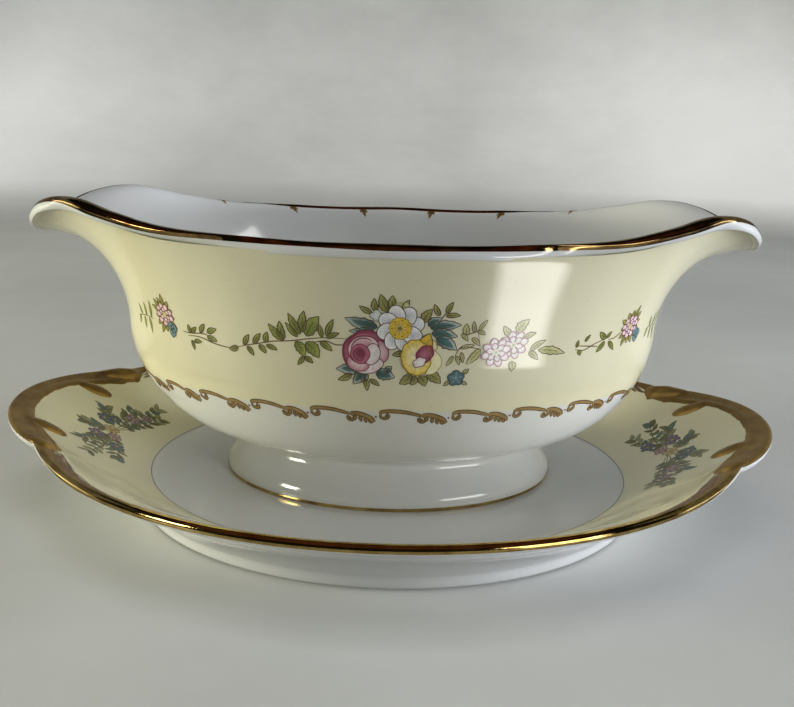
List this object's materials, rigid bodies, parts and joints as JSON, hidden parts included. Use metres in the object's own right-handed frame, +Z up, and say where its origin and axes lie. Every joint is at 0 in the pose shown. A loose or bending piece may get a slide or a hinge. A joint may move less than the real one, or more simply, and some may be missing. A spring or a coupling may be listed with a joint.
{
  "type": "sauce boat on underplate",
  "caption": "Oval footed porcelain sauce boat with a pouring lip at each end, standing loose on a lobed oval underplate with a low foot ring.",
  "frame": {"origin": "on the table, under the middle of the underplate", "axes": "+X along the boat towards one pouring lip, +Z up, +Y across the boat"},
  "size_m": [0.222, 0.15, 0.0871],
  "materials": {
    "white_glaze": "glossy white porcelain glaze",
    "ivory_glaze": "glossy ivory porcelain glaze",
    "gilding": "fired gilding, burnished on the rims and matt on the border",
    "enamel": "painted overglaze enamel flowers, leaves and scrolls"
  },
  "bodies": {
    "stand": {"underplate": "white_glaze"},
    "boat": {"boat_bowl": "ivory_glaze", "boat_foot": "white_glaze"}
  },
  "joints": [
    {"name": "boat_lift", "type": "slide", "parent": "stand", "child": "boat", "axis": [0, 0, 1], "range_m": [0, 0.12]}
  ]
}
